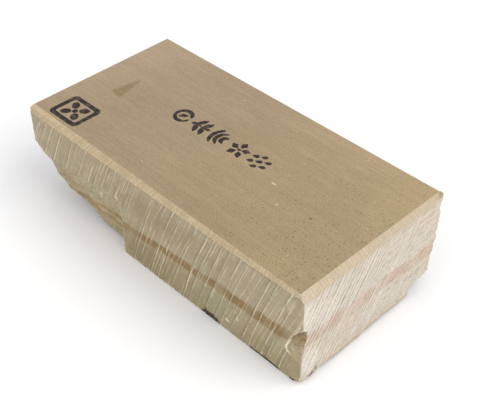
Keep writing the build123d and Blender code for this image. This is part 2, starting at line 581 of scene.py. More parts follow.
@dataclass(frozen=True)
class Chip:
    """How the shell-shaped chip in the near front edge is coloured, along the front and in height."""

    reach: float = 92.7  # where the rim is furthest from the end
    upper: float = 21.5  # above this height the rim leans back to the end
    upper_lean: float = 0.39  # sideways for each unit of height
    lower: float = 19.6  # and below this one
    lower_lean: float = 1.1
    foot: float = 16.8  # the rim starts here
    faint: float = 25.0  # and fades from here up
    half_line: float = 0.3  # half the width of the pale rim
    soft: float = 0.45  # how wide its soft border is
    hollow: Tuple[float, float] = (96.3, 30.6)  # a point on the upper edge of the hollow
    square: Tuple[float, float] = (0.775, 0.632)  # the direction square to that edge

    def rim(self, tree: Tree, place: Val) -> Val:
        """The painted highlight along the broken rim, from 0 to 1.

        Args:
            tree: the tree to add to.
            place: the surface point in millimetres.

        Returns:
            The share of painted highlight.
        """
        x, y, z = tree.axes(place)
        ragged = tree.sway(place, 1.2, 0.8)
        rim = (z - self.upper).most(0.0) * self.upper_lean + (self.lower - z).most(0.0) * self.lower_lean
        away = abs(x + ragged - (rim + self.reach))
        line = tree.ease(away, self.half_line, self.half_line + self.soft, 1.0, 0.0)
        line = line * tree.ease(z, self.foot, self.foot + 0.8)
        return line * tree.ease(z, self.faint, self.faint + 4.0, 1.0, 0.25) * front_only(tree, y)

    def shade(self, tree: Tree, place: Val) -> Val:
        """The painted shadow in the hollow under the upper rim, from 0 to 1.

        Args:
            tree: the tree to add to.
            place: the surface point in millimetres.

        Returns:
            The share of painted shadow.
        """
        x, _, z = tree.axes(place)
        under = (x - self.hollow[0]) * self.square[0] - (z - self.hollow[1]) * self.square[1]
        fray = tree.sway(place, 1.4, 1.6)
        return tree.ease(under + fray, 0.2, 2.4, 1.0, 0.0) * tree.ease(x, self.reach - 0.2, 94.0)


CHIP = Chip()


class Painted:
    """A material whose tree is written by a finish."""

    def __init__(self, name: str) -> None:
        """Makes an empty material with a Principled shader.

        Args:
            name: the material's name.
        """
        self.material = bpy.data.materials.new(name)
        self.material.use_nodes = True
        self.tree = Tree(self.material.node_tree)
        nodes = self.material.node_tree.nodes
        self.shader = nodes["Principled BSDF"]

    def worn(self) -> Val:
        """How near a point is to a sharp edge, as the mesh carries it."""
        return self.tree.node("ShaderNodeAttribute", {"attribute_name": "edge"}, output="Fac")

    def dress(self, colour: Val, roughness: Any, height: Val, depth: float) -> bpy.types.Material:
        """Connects the finished colour, roughness and relief.

        Args:
            colour: the base colour.
            roughness: a value or a constant.
            height: the relief from 0 to 1.
            depth: how deep the relief is, in millimetres.

        Returns:
            The material.
        """
        bump = self.tree.node(
            "ShaderNodeBump", inputs={"Strength": 1.0, "Distance": depth * MM, "Height": height}
        )
        self.tree.feed(self.shader.inputs["Base Color"], colour)
        self.tree.feed(self.shader.inputs["Roughness"], roughness)
        self.tree.feed(self.shader.inputs["Normal"], bump)
        self.shader.inputs["Specular IOR Level"].default_value = 0.3
        return self.material


@dataclass(frozen=True)
class RubbedFace:
    """The flat working face: fine tan stone with flecks, pits, faint scratches and a stain."""

    tan: Colour = (0.335, 0.252, 0.148)
    rosy: Colour = (0.335, 0.250, 0.163)
    stain: Colour = (0.235, 0.165, 0.075)
    stain_middle: Tuple[float, float] = (-78.6, -0.5)
    stain_half_length: float = 8.6
    fleck: Colour = (0.60, 0.50, 0.35)
    pit: Colour = (0.165, 0.095, 0.040)
    moss: Colour = (0.28, 0.27, 0.14)
    flecks: Tuple[Patch, ...] = (
        Patch(38.5, -3.5, 1.6, 0.6, 1.0),
        Patch(50.5, -14.0, 0.7, 0.8, 0.8),
        Patch(83.0, 21.0, 0.4, 1.0, 0.5),
        Patch(92.5, 3.5, 0.7, 0.4, 0.7),
        Patch(39.0, 19.0, 0.6, 0.4, 0.45),
        Patch(60.0, 44.5, 0.5, 0.8, 0.5),
        Patch(6.5, 33.0, 0.7, 0.4, 0.5),
        Patch(-23.0, 37.0, 0.5, 1.0, 0.4),
        Patch(-21.5, -38.0, 0.5, 0.5, 0.5),
        Patch(78.5, -36.0, 0.4, 0.9, 0.5),
        Patch(-55.0, -3.0, 0.8, 0.4, 0.3),
    )
    big_pit: Patch = Patch(69.0, -10.0, 0.75, 0.65)
    damp: Tuple[Patch, ...] = (Patch(88.0, -24.0, 7.0, 6.0), Patch(44.0, -7.0, 7.0, 5.0, 0.6))

    def stained(self, tree: Tree, place: Val) -> Val:
        """The old stain: a blunt wedge that narrows towards the back, worn through in places.

        Args:
            tree: the tree to add to.
            place: the surface point in millimetres.

        Returns:
            The share of brown, from 0 to 1.
        """
        x, y, _ = tree.axes(place)
        ragged = tree.sway(place, 1.8, 4.0, 4.0, 0.65)
        half_width = tree.ease(y, -12.0, 10.0, 4.4, 0.9)
        across = abs(x - self.stain_middle[0] + y * 0.05) + ragged - half_width
        along = abs(y - self.stain_middle[1]) + ragged - self.stain_half_length
        sides = tree.ease(across, -0.8, 0.9, 1.0, 0.0)
        ends = tree.ease(along, 0.0, 1.8, 1.0, 0.0)
        thin = tree.ease(tree.noise(place, 1.1, 3.0, by=(1.0, 0.5, 1.0)), 0.3, 0.6, 0.35)
        return sides * ends * thin

    def pitted(self, tree: Tree, place: Val) -> Val:
        """Small pits, thick towards the near front corner, and one large one.

        Args:
            tree: the tree to add to.
            place: the surface point in millimetres.

        Returns:
            How strongly a point lies in a pit, from 0 to 1.
        """
        x, y, _ = tree.axes(place)
        flat = tree.stretched(place, (1.0, 1.0, 0.0))
        near, chance = tree.cells(flat, 1.9)
        common = tree.ease(x - y * 0.9, -20.0, 135.0, 0.97, 0.52)
        clumps = tree.sway(flat, 9.0, 0.7)
        small = tree.ease(near, 0.10, 0.42, 1.0, 0.0) * tree.ease(chance - common + clumps, 0.0, 0.3)
        fray = tree.sway(flat, 0.5, 0.8, 1.0)
        return (small * 0.75).most(self.big_pit.draw(tree, place, Facing.TOP, fray, 0.8))

    def build(self) -> bpy.types.Material:
        """Makes the material of the working face.

        Returns:
            The material.
        """
        painted = Painted("rubbed_face")
        tree = painted.tree
        place = tree.place()
        x, y, _ = tree.axes(place)
        # The tan turns rosy towards the near end
        warm = tree.noise(place, 34.0, 3.0, by=(0.5, 1.0, 1.0))
        warm = warm + tree.ease(x - y * 0.6, -110.0, 90.0, 0.28, -0.28)
        colour = tree.mixed(tree.ease(warm, 0.3, 0.7), self.tan, self.rosy)
        streaks = tree.noise(place, 0.9, 4.0, 0.7, by=(0.04, 1.0, 1.0))
        wide = tree.noise(place, 7.0, 3.0, 0.6, by=(0.12, 1.0, 1.0))
        cloud = ROCK.mottle(tree, place, 26.0, (0.5, 1.0, 1.0))
        speckle = ROCK.mottle(tree, place, 3.2)
        grain = tree.noise(place, 0.8, 2.0, 0.7)
        light = (streaks - 0.5) * 0.45 + cloud * 0.06 + (grain - 0.5) * 1.0 + (wide - 0.5) * 0.25
        light = light + speckle * 0.07
        # The rubbed face is paler at the far end and along the back
        light = light + tree.ease(x - y * 0.5, -125.0, -60.0, 1.17, 1.0)
        light = light + tree.ease(x - y * 0.6, 60.0, 130.0, 0.0, 0.04)
        light = light + tree.ease(x * 0.35 + y, 20.0, 75.0, 0.0, 0.14)
        light = light - tree.ease(y, FRONT, 0.0, 0.02, 0.0)
        colour = tree.shaded(colour, light)
        fray = tree.sway(place, 0.8, 1.4)
        soft = tree.sway(place, 4.0, 1.6, 3.0)
        damp = draw_all(self.damp, tree, place, Facing.TOP, soft, 1.2)
        colour = tree.mixed(damp * 0.12, colour, self.moss)
        flecks = draw_all(self.flecks, tree, place, Facing.TOP, fray, 0.9)
        pits = self.pitted(tree, place)
        colour = tree.mixed(self.stained(tree, place) * 0.85, colour, self.stain)
        colour = tree.mixed(pits * 0.8, colour, self.pit)
        colour = tree.mixed(flecks * 0.8, colour, self.fleck)
        height = grain * 0.3 + streaks * 0.35 - pits * 1.2
        return painted.dress(colour, (grain - 0.5) * 0.2 + 0.72, height, 0.05)


@dataclass(frozen=True)
class FiledChamfer:
    """The chamfers: paler stone, crossed by the strokes of a coarse file."""

    cream: Colour = (0.585, 0.465, 0.305)
    honey: Colour = (0.500, 0.390, 0.240)
    pale: Colour = (0.50, 0.425, 0.325)
    rosy: Colour = (0.62, 0.50, 0.385)
    brown: Colour = (0.30, 0.205, 0.11)

    def build(self) -> bpy.types.Material:
        """Makes the material of the chamfers.

        Returns:
            The material.
        """
        painted = Painted("filed_chamfer")
        tree = painted.tree
        place = tree.place()
        x, y, _ = tree.axes(place)
        at_end = tree.ease(x, NEAR_END - 4.4, NEAR_END - 3.9)
        front = FRONT_FILE.lines(tree, place, 1.5)
        end = END_FILE.lines(tree, place, 1.4)
        strokes = front * (1 - at_end) + end * at_end
        grit = ROCK.grit(tree, place)
        patches = tree.noise(place, 5.0, 3.0, 0.6, by=(0.5, 0.7, 1.5))
        colour = tree.mixed(tree.ease(patches, 0.38, 0.62), self.cream, self.honey)
        colour = tree.mixed(at_end * 0.5, colour, self.pale)
        rosy = at_end * tree.ease(y, -49.0, -36.0, 1.0, 0.0)
        colour = tree.mixed(rosy * 0.5, colour, self.rosy)
        colour = tree.shaded(colour, strokes * 0.30 + grit * 0.12 + (patches - 0.5) * 0.35 + 0.91)
        # The bruised corner at the near back
        corner = tree.ease(x + y, 148.5, 150.5)
        colour = tree.mixed(corner * 0.5, colour, self.brown)
        return painted.dress(colour, 0.8, strokes + grit * 0.2, 0.14)


@dataclass(frozen=True)
class SawnSide:
    """The long sawn sides: bare stone with pale, powdery saw scores."""

    powder: Colour = (0.70, 0.625, 0.44)
    rim: Colour = (0.88, 0.79, 0.57)
    # Colour of the painted highlight along the chip's rim
    dark: Colour = (0.045, 0.033, 0.025)
    brow: float = 56.1  # height of the dark line under the chamfer, at the middle of the front
    brow_rise: float = 0.0059
    chips: Tuple[Patch, ...] = (
        Patch(53.0, 8.0, 1.5, 1.1),
        Patch(60.0, 14.0, 0.7, 1.4, 0.8),
        Patch(-30.0, 37.0, 0.7, 2.0, 0.8),
    )
    # The dark skin of the underside that shows along the foot of the front
    skin: Tuple[Patch, ...] = (
        Patch(40.5, 0.8, 6.4, 3.1),
        Patch(37.2, 3.0, 0.5, 2.6),
        Patch(79.0, -0.4, 10.5, 2.3),
        Patch(70.0, 0.0, 1.0, 2.2),
        Patch(97.0, -0.2, 2.6, 1.5),
    )

    def build(self) -> bpy.types.Material:
        """Makes the material of the sawn sides.

        Returns:
            The material.
        """
        painted = Painted("sawn_side")
        tree = painted.tree
        place = tree.place()
        x, y, z = tree.axes(place)
        grit = ROCK.grit(tree, place)
        blots = ROCK.mottle(tree, place, 8.0, (1.0, 1.0, 1.4))
        spots = ROCK.mottle(tree, place, 3.4, (1.0, 1.0, 1.3))
        layers = ROCK.laminae(tree, place)
        bold = FRONT_SCORES.lines(tree, place)
        fine = FINE_SCORES.lines(tree, place)
        swell = FRONT_SCORES.swell(tree, place)
        shade = FRONT_SCORES.lines(tree, place, 1.7, 0.8)
        light = grit * 0.08 + blots * 0.09 + spots * 0.11 + (layers - 0.5) * 0.15
        light = light + (swell - 0.5) * 0.4 - shade * 0.2 + 1.04
        # Painted shade: a thin dark line in the angle under the chamfer
        brow = tree.ease(abs(z - x * self.brow_rise - self.brow + spots * 0.15), 0.3, 0.9, 1.0, 0.0)
        light = light - brow * (blots * 0.2 + 0.22).most(0.0)
        colour = tree.shaded(ROCK.inside(tree, place), light)
        # The powder in the scores is broken by the grain, and thin in some areas and near the foot
        broken = (grit * 0.5 + spots * 0.35 + 0.9).most(0.1)
        areas = tree.ease(tree.noise(place, 13.0, by=(1.0, 1.0, 0.7)), 0.38, 0.58, 0.6, 1.3)
        scores = (bold * 1.05).most(fine * 0.78) * broken * areas * tree.ease(z, 4.0, 26.0, 0.75, 1.0)
        colour = tree.mixed(scores * 0.85, colour, self.powder)
        chips = draw_all(self.chips, tree, place, Facing.SIDE, grit * 0.4, 0.7)
        colour = tree.mixed(chips * 0.85, colour, self.powder)
        # Painted highlight along the chip's rim
        colour = tree.mixed(CHIP.rim(tree, place), colour, self.rim)
        colour = tree.mixed(painted.worn() * (grit + 0.6) * 0.3, colour, self.powder)
        skin = draw_all(self.skin, tree, place, Facing.SIDE, grit * 0.18, 0.35)
        colour = tree.mixed(skin * front_only(tree, y, 0.95), colour, self.dark)
        height = bold * 0.7 + fine * 0.35 + swell * 0.6 + grit * 0.16
        return painted.dress(colour, 0.85, height, 0.3)


@dataclass(frozen=True)
class SawnEnd:
    """The sawn ends: the same stone under a film of pale saw dust, in close diagonal grooves."""

    cream: Colour = (0.565, 0.487, 0.402)
    cool: Colour = (0.540, 0.495, 0.420)
    pink: Colour = (0.480, 0.325, 0.238)
    sandy: Colour = (0.500, 0.415, 0.305)
    honey: Colour = (0.500, 0.375, 0.225)
    bright: Colour = (0.74, 0.68, 0.61)
    brown: Colour = (0.190, 0.120, 0.070)
    pale: Tuple[Patch, ...] = (
        Patch(-47.0, 46.0, 5.0, 9.0, 1.0),
        Patch(-45.0, 15.0, 6.0, 8.0, 1.0),
        Patch(-36.0, 40.0, 10.0, 9.0, 0.5),
    )
    cools: Tuple[Patch, ...] = (
        Patch(2.0, 11.0, 16.0, 6.0, 1.0),
        Patch(16.0, 37.0, 18.0, 6.0, 0.7),
        Patch(28.0, 13.0, 10.0, 7.0, 0.7),
    )
    sands: Tuple[Patch, ...] = (
        Patch(38.0, 52.0, 16.0, 8.0, 0.6),
        Patch(-5.0, 1.0, 42.0, 6.0, 1.0),
        Patch(36.0, 22.0, 14.0, 6.0, 0.7),
        Patch(-20.0, 18.0, 18.0, 6.0, 0.7),
        Patch(49.0, 24.0, 5.0, 18.0, 0.6),
    )
    blushes: Tuple[Patch, ...] = (Patch(-28.0, 29.0, 6.0, 4.5, 1.0), Patch(-10.0, 27.0, 20.0, 3.5, 0.5))
    skin: Tuple[Patch, ...] = (Patch(-42.8, 1.6, 3.0, 2.4), Patch(-39.8, 4.2, 0.9, 2.4, 0.8))

    def build(self) -> bpy.types.Material:
        """Makes the material of the sawn ends.

        Returns:
            The material.
        """
        painted = Painted("sawn_end")
        tree = painted.tree
        place = tree.place()
        x, y, z = tree.axes(place)
        grit = ROCK.grit(tree, place)
        fray = ROCK.mottle(tree, place, 6.0, (1.0, 1.0, 1.5)) * 0.35
        patches = tree.noise(place, 12.0, 3.0, by=(1.0, 1.0, 1.5))
        colour = tree.mixed(tree.ease(patches, 0.38, 0.62) * 0.6, self.cream, self.cool)
        for areas, tint in ((self.cools, self.cool), (self.sands, self.sandy)):
            share = draw_all(areas, tree, place, Facing.END, fray, 1.1) * 0.6
            colour = tree.mixed(share, colour, tint)
        blush = draw_all(self.blushes, tree, place, Facing.END, fray, 1.2)
        colour = tree.mixed((ROCK.band(tree, place) * 0.6).most(blush * 0.8), colour, self.pink)
        pale = draw_all(self.pale, tree, place, Facing.END, fray, 1.1) * 0.6
        colour = tree.mixed(pale, colour, self.bright)
        layers = ROCK.laminae(tree, place)
        # The furrows are deep near the front and fade towards the back, where the layers show
        fades = tree.ease(y + ROCK.mottle(tree, place, 20.0) * 8.0, -2.0, 30.0, 1.0, 0.32)
        furrows = END_SCORES.furrows(tree, place) * fades
        fine = END_FINE.lines(tree, place)
        spots = ROCK.mottle(tree, place, 3.4, (1.0, 1.0, 1.3))
        light = grit * 0.21 + (layers - 0.5) * (1.4 - fades) * 0.75 + 1.03
        # Painted light and shade on the furrows: lighter on their ridges and darker in their hollows,
        # over their real relief
        light = light + furrows * 0.25 - fine * 0.24 + spots * 0.12
        light = light + tree.ease(y, 5.0, 35.0, 0.0, 0.04)
        colour = tree.shaded(colour, light)
        # Painted highlight on the furrow ridges; the score lines are mixed to the same bright colour
        ridge = END_SCORES.lines(tree, place) * fades
        colour = tree.mixed((furrows * 0.45).most(ridge * 0.65), colour, self.bright)
        # Warmer stone along the foot and under the chamfer
        foot = tree.ease(z + fray * 1.5, 2.2, 4.2, 1.0, 0.0) * tree.ease(y, -38.0, -34.0)
        colour = tree.mixed(foot * 0.75, colour, self.honey)
        rim = tree.ease(z + fray * 2.4, 54.2, 56.6)
        colour = tree.mixed(rim * 0.5, colour, self.sandy)
        colour = tree.mixed(painted.worn() * (grit + 0.6) * 0.25, colour, self.sandy)
        skin = draw_all(self.skin, tree, place, Facing.END, grit * 0.18, 0.4)
        colour = tree.mixed(skin * tree.ease(x, 90.0, 95.0, 0.0, 0.8), colour, self.brown)
        height = grit * 0.16 - fine * 0.3 + furrows * 0.3
        return painted.dress(colour, 0.85, height, 0.35)


@dataclass(frozen=True)
class SplitRock:
    """Broken stone: the bare stone in flakes and layers, with brown where water ran in."""

    ochre: Colour = (0.455, 0.375, 0.225)
    brown: Colour = (0.290, 0.195, 0.105)
    orange: Colour = (0.360, 0.215, 0.110)
    # Colour of the painted shadow under the chip's upper rim
    shade: Colour = (0.095, 0.060, 0.030)
    pale: Colour = (0.66, 0.58, 0.41)
    # Colour of the painted highlight along the chip's rim
    rim: Colour = (0.88, 0.79, 0.57)
    lighter: float = 1.22  # painted light: paler to offset the shade on the downward-sloping broken faces
    chips: Tuple[Patch, ...] = (
        Patch(-45.0, 30.0, 1.0, 2.2, 0.8),
        Patch(-57.0, 22.0, 1.2, 1.0, 0.7),
        Patch(-69.0, 24.0, 1.6, 0.8, 0.5),
    )
    streaks: Tuple[Patch, ...] = (
        Patch(100.0, 32.0, 3.5, 5.0, 0.5),
        Patch(-62.0, 12.5, 16.0, 2.0, 1.0),
        Patch(-40.0, 13.0, 8.0, 2.0, 0.8),
    )

    def build(self) -> bpy.types.Material:
        """Makes the material of the broken surfaces.

        Returns:
            The material.
        """
        painted = Painted("split_rock")
        tree = painted.tree
        place = tree.place()
        z = tree.axes(place)[2]
        grit = ROCK.grit(tree, place)
        patches = tree.noise(place, 8.0, 4.0, 0.65, by=(1.0, 1.0, 2.2))
        # Painted light: the broken stone is made paler to offset the shade its downward-sloping faces get
        colour = tree.shaded(ROCK.inside(tree, place), self.lighter)
        # Water stained the lower part most
        low = tree.ease(z, 16.0, 32.0, 1.0, 0.25)
        colour = tree.mixed(tree.ease(patches, 0.40, 0.62) * low * 0.7, colour, self.ochre)
        layers = ROCK.laminae(tree, place, 2.4)
        colour = tree.mixed(tree.ease(layers, 0.55, 0.72) * low * 0.5, colour, self.brown)
        fray = ROCK.mottle(tree, place, 5.0, (1.0, 1.0, 2.0)) * 0.4
        streaks = draw_all(self.streaks, tree, place, Facing.SIDE, fray, 1.1)
        colour = tree.mixed(streaks * 0.75, colour, self.orange)
        flakes = tree.ease(tree.noise(place, 1.9, 4.0, 0.75, by=(1.0, 1.0, 1.6)), 0.54, 0.66)
        colour = tree.mixed(flakes * 0.45, colour, self.pale)
        chips = draw_all(self.chips, tree, place, Facing.SIDE, grit * 0.4, 0.7)
        colour = tree.mixed(chips * 0.8, colour, self.pale)
        colour = tree.shaded(colour, grit * 0.32 + (patches - 0.5) * 0.6 + 1.0)
        # Painted shadow in the hollow under the chip's upper rim
        colour = tree.mixed(CHIP.shade(tree, place) * 0.7, colour, self.shade)
        # Painted highlight along the chip's rim
        colour = tree.mixed(CHIP.rim(tree, place), colour, self.rim)
        colour = tree.mixed(painted.worn() * (grit + 0.6) * 0.35, colour, self.pale)
        height = grit * 0.3 + layers * 0.5 + flakes * 0.4
        return painted.dress(colour, 0.9, height, 0.5)


@dataclass(frozen=True)
class NaturalSkin:
    """The rusty weathered skin that the underside kept from the quarry."""

    rust: Colour = (0.16, 0.095, 0.05)
    dark: Colour = (0.06, 0.042, 0.03)
    clay: Colour = (0.36, 0.27, 0.16)

    def build(self) -> bpy.types.Material:
        """Makes the material of the natural skin.

        Returns:
            The material.
        """
        painted = Painted("natural_skin")
        tree = painted.tree
        place = tree.place()
        clouds = tree.noise(place, 16.0, 4.0, 0.6)
        blots = tree.noise(tree.shifted(place, (9.0, 4.0, 0.0)), 11.0, 5.0, 0.65)
        colour = tree.mixed(tree.ease(clouds, 0.38, 0.62), self.rust, self.dark)
        colour = tree.mixed(tree.ease(blots, 0.52, 0.68) * 0.6, colour, self.clay)
        grain = tree.noise(place, 0.9, 3.0, 0.7)
        colour = tree.shaded(colour, (grain - 0.5) * 0.6 + 1.0)
        return painted.dress(colour, 0.88, grain + blots, 0.4)


@dataclass(frozen=True)
class BrushInk:
    """Black ink in the pores of the stone, thin where the brush ran dry."""

    black: Colour = (0.022, 0.018, 0.016)
    thin: Colour = (0.070, 0.052, 0.038)
    bare: Colour = (0.20, 0.15, 0.09)

    def build(self) -> bpy.types.Material:
        """Makes the material of the ink.

        Returns:
            The material.
        """
        painted = Painted("brush_ink")
        tree = painted.tree
        place = tree.place()
        wash = tree.noise(place, 3.2, 3.0)
        colour = tree.mixed(tree.ease(wash, 0.45, 0.7), self.black, self.thin)
        grain = tree.noise(place, 0.45, 3.0, 0.75)
        dry = tree.ease(grain + (wash - 0.5) * 0.5, 0.62, 0.78)
        colour = tree.mixed(dry * 0.8, colour, self.bare)
        return painted.dress(colour, 0.75, grain, 0.03)


class Maker:
    """A Geometry Nodes tree with named sizes that ends in Realize Instances and Set Material."""

    def __init__(self, name: str, sizes: Dict[str, float]) -> None:
        """Starts the tree, with an input for each size.

        Args:
            name: the tree's name.
            sizes: its sizes by name.
        """
        self.group = bpy.data.node_groups.new(name, "GeometryNodeTree")
        sides = self.group.interface
        sides.new_socket("Geometry", in_out="INPUT", socket_type="NodeSocketGeometry")
        for size in sizes:
            sides.new_socket(size, in_out="INPUT", socket_type="NodeSocketFloat")
        sides.new_socket("Geometry", in_out="OUTPUT", socket_type="NodeSocketGeometry")
        self.sizes = sizes
        self.tree = Tree(self.group)
        self.given = self.tree.node("NodeGroupInput")

    def size(self, name: str) -> Val:
        """The input with that name."""
        return Val(self.tree, self.given.socket.node.outputs[name])

    def attribute(self, name: str, data_type: str = "FLOAT") -> Val:
        """A number that the mesh carries."""
        kind = "GeometryNodeInputNamedAttribute"
        return self.tree.node(kind, {"data_type": data_type}, {"Name": name}, "Attribute")

    def end(self, geometry: Val, material: bpy.types.Material, chosen: Any = True) -> None:
        """Ends the tree, with that material on the chosen faces.

        Args:
            geometry: the result.
            material: the material.
            chosen: which faces get it.
        """
        solid = self.tree.node("GeometryNodeRealizeInstances", inputs={"Geometry": geometry})
        inputs = {"Geometry": solid, "Selection": chosen, "Material": material}
        dressed = self.tree.node("GeometryNodeSetMaterial", inputs=inputs)
        self.tree.feed(self.tree.tree.nodes.new("NodeGroupOutput").inputs[0], dressed)

    def attach(self, piece: bpy.types.Object) -> None:
        """Gives a mesh or curve object the tree as its modifier.

        Args:
            piece: the object.
        """
        modifier = piece.modifiers.new(self.group.name, "NODES")
        modifier.node_group = self.group
        for item in self.group.interface.items_tree:
            if item.in_out == "INPUT" and item.name in self.sizes:
                modifier[item.identifier] = self.sizes[item.name]


@dataclass(frozen=True)
class UncutEdge:
    """A stretch where the file hardly reached the edge, so that the chamfer stands out again."""

    drop: float  # how far the chamfer runs down there, in millimetres
    crest: float  # how far down it the lost edge lies nearest
    stand: float  # how far the edge stands out over the chamfer, before it is held to the block's box

    def ridge(self, drop: Val) -> Val:
        """A ridge across the chamfer, from 0 at its borders to 1 at the crest."""
        return (drop / self.crest).least((self.drop - drop) / (self.drop - self.crest)).most(0.0)


FAR_EDGE = UncutEdge(4.0, 1.68, 2.4)
BACK_EDGE = UncutEdge(1.9, 1.13, 1.9)


@dataclass
class Relief:
    """One Geometry Nodes tree: it cuts a finish into the faces of that kind and dresses them.

    The heights come from the finish's own patterns, so they agree with its material.
    """

    finish: Finish
    material: bpy.types.Material
    depth: float  # of the pattern, in millimetres
    nick: float  # how deep worn edges are, in millimetres

    def heights(self, tree: Tree, place: Val) -> Union[Val, float]:
        """The height of the finish at a point, in shares of its depth.

        Args:
            tree: the tree to add to.
            place: the surface point in millimetres.

        Returns:
            The height.
        """
        if self.finish is Finish.SAWN_SIDE:
            bold = FRONT_SCORES.lines(tree, place, 1.6)
            return bold * 0.7 + (FRONT_SCORES.swell(tree, place) - 0.5) * 1.6
        if self.finish is Finish.SAWN_END:
            return END_SCORES.furrows(tree, place) * 0.6
        if self.finish is Finish.FILED:
            return tree.sway(place, 3.0, 1.4)
        if self.finish is Finish.SPLIT:
            ledges = tree.noise(place, 13.0, by=(1.0, 1.0, 2.6))
            lumps = tree.noise(place, 5.0, 3.0, 0.6)
            crumbs = tree.noise(place, 1.9)
            return (ledges - 0.5) * 2.6 + (lumps - 0.5) * 1.7 + (crumbs - 0.5) * 0.9
        if self.finish is Finish.SKIN:
            return tree.ease(tree.noise(place, 8.0, 3.0), 0.35, 0.75, 0.0, -1.0)
        return 0.0

    def uncut(self, tree: Tree, place: Val) -> Union[Val, float]:
        """How far the chamfers stand out where the file hardly reached, in millimetres.

        Args:
            tree: the tree to add to.
            place: the surface point in millimetres.

        Returns:
            The height over the straight chamfer.
        """
        if self.finish is not Finish.FILED:
            return 0.0
        x, y, z = tree.axes(place)
        drop = TOP - z
        far = FAR_EDGE.ridge(drop) * tree.ease(x, -101.0, -64.0, FAR_EDGE.stand, 0.0)
        back = BACK_EDGE.ridge(drop) * tree.ease(y, 46.0, 49.0, 0.0, BACK_EDGE.stand)
        return far * front_only(tree, y) + back * tree.ease(x, 99.9, 100.5)

    def apply(self, piece: bpy.types.Object) -> None:
        """Cuts the relief into a piece and keeps the result as its mesh.

        Args:
            piece: the object.
        """
        name = self.finish.name.lower()
        maker = Maker(f"relief_{name}", {"Depth": self.depth, "Nick": self.nick})
        tree = maker.tree
        place = tree.place()
        edge = maker.attribute("edge")
        x, y, z = tree.axes(place)
        chipped = tree.ease(tree.noise(place, 3.4, 3.0, 0.6), 0.46, 0.70)
        # Edges wear most at the foot and at the near back edge, and least along the chamfers
        upright = tree.ease(x, 98.0, 101.0) * tree.ease(y, 46.0, 49.0) * 1.5 + 0.4
        worn = tree.ease(z, 54.0, 56.5, 1.0, 0.12) * upright + tree.ease(z, 1.5, 5.0, 0.9, 0.0)
        lift = self.heights(tree, place) * maker.size("Depth")
        lift = lift - edge * worn * (chipped + 0.1) * maker.size("Nick")
        lift = lift + self.uncut(tree, place)
        normal = tree.node("GeometryNodeInputNormal")
        offset = tree.scaled(normal, lift * maker.attribute(f"is_{name}") * MM)
        inputs = {"Geometry": maker.given, "Offset": offset}
        moved = tree.node("GeometryNodeSetPosition", inputs=inputs)
        settings = {"data_type": "INT", "operation": "EQUAL"}
        faces = {2: maker.attribute("finish", "INT"), 3: self.finish.value}
        same = tree.node("FunctionNodeCompare", settings, faces)
        maker.end(moved, self.material, same)
        maker.attach(piece)
        keep_result(piece)


def result_of(piece: bpy.types.Object) -> bpy.types.Mesh:
    """The mesh that a piece's modifiers make of it."""
    graph = bpy.context.evaluated_depsgraph_get()
    return bpy.data.meshes.new_from_object(piece.evaluated_get(graph), depsgraph=graph)


def keep_result(piece: bpy.types.Object) -> None:
    """Replaces a piece's mesh with what its modifiers make of it, and removes them.

    Args:
        piece: the object.
    """
    mesh = result_of(piece)
    piece.modifiers.clear()
    piece.data = mesh


def new_piece(name: str, mesh: bpy.types.Mesh) -> bpy.types.Object:
    """Links a new object at the origin.

    Args:
        name: its name.
        mesh: its mesh.

    Returns:
        The object.
    """
    piece = bpy.data.objects.new(name, mesh)
    bpy.context.scene.collection.objects.link(piece)
    return piece


def merged_copy(node: str) -> bpy.types.Mesh:
    """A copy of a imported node's mesh with its loose triangles joined.

    Args:
        node: the node's name.

    Returns:
        The copy.
    """
    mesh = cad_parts[node].data.copy()
    shape = bmesh.new()
    shape.from_mesh(mesh)
    bmesh.ops.remove_doubles(shape, verts=shape.verts, dist=0.002 * MM)
    shape.to_mesh(mesh)
    shape.free()
    return mesh


def read(items: Any, name: str, width: int = 3, kind: Any = float) -> np.ndarray:
    """A row of numbers for each vertex, edge, corner or face of a mesh.

    Args:
        items: the mesh's own list of them.
        name: which of their properties to read.
        width: how many numbers each has.
        kind: the type of the numbers.

    Returns:
        One row each, or one number each if width is 1.
    """
    found = np.empty(len(items) * width, kind)
    items.foreach_get(name, found)
    return found.reshape(-1, width) if width > 1 else found


def points_of(mesh: bpy.types.Mesh) -> np.ndarray:
    """The vertices of a mesh in millimetres."""
    return read(mesh.vertices, "co") / MM


def move_points(mesh: bpy.types.Mesh, points: np.ndarray) -> None:
    """Puts the vertices of a mesh at those places in millimetres."""
    mesh.vertices.foreach_set("co", (points * MM).ravel())
    mesh.update()


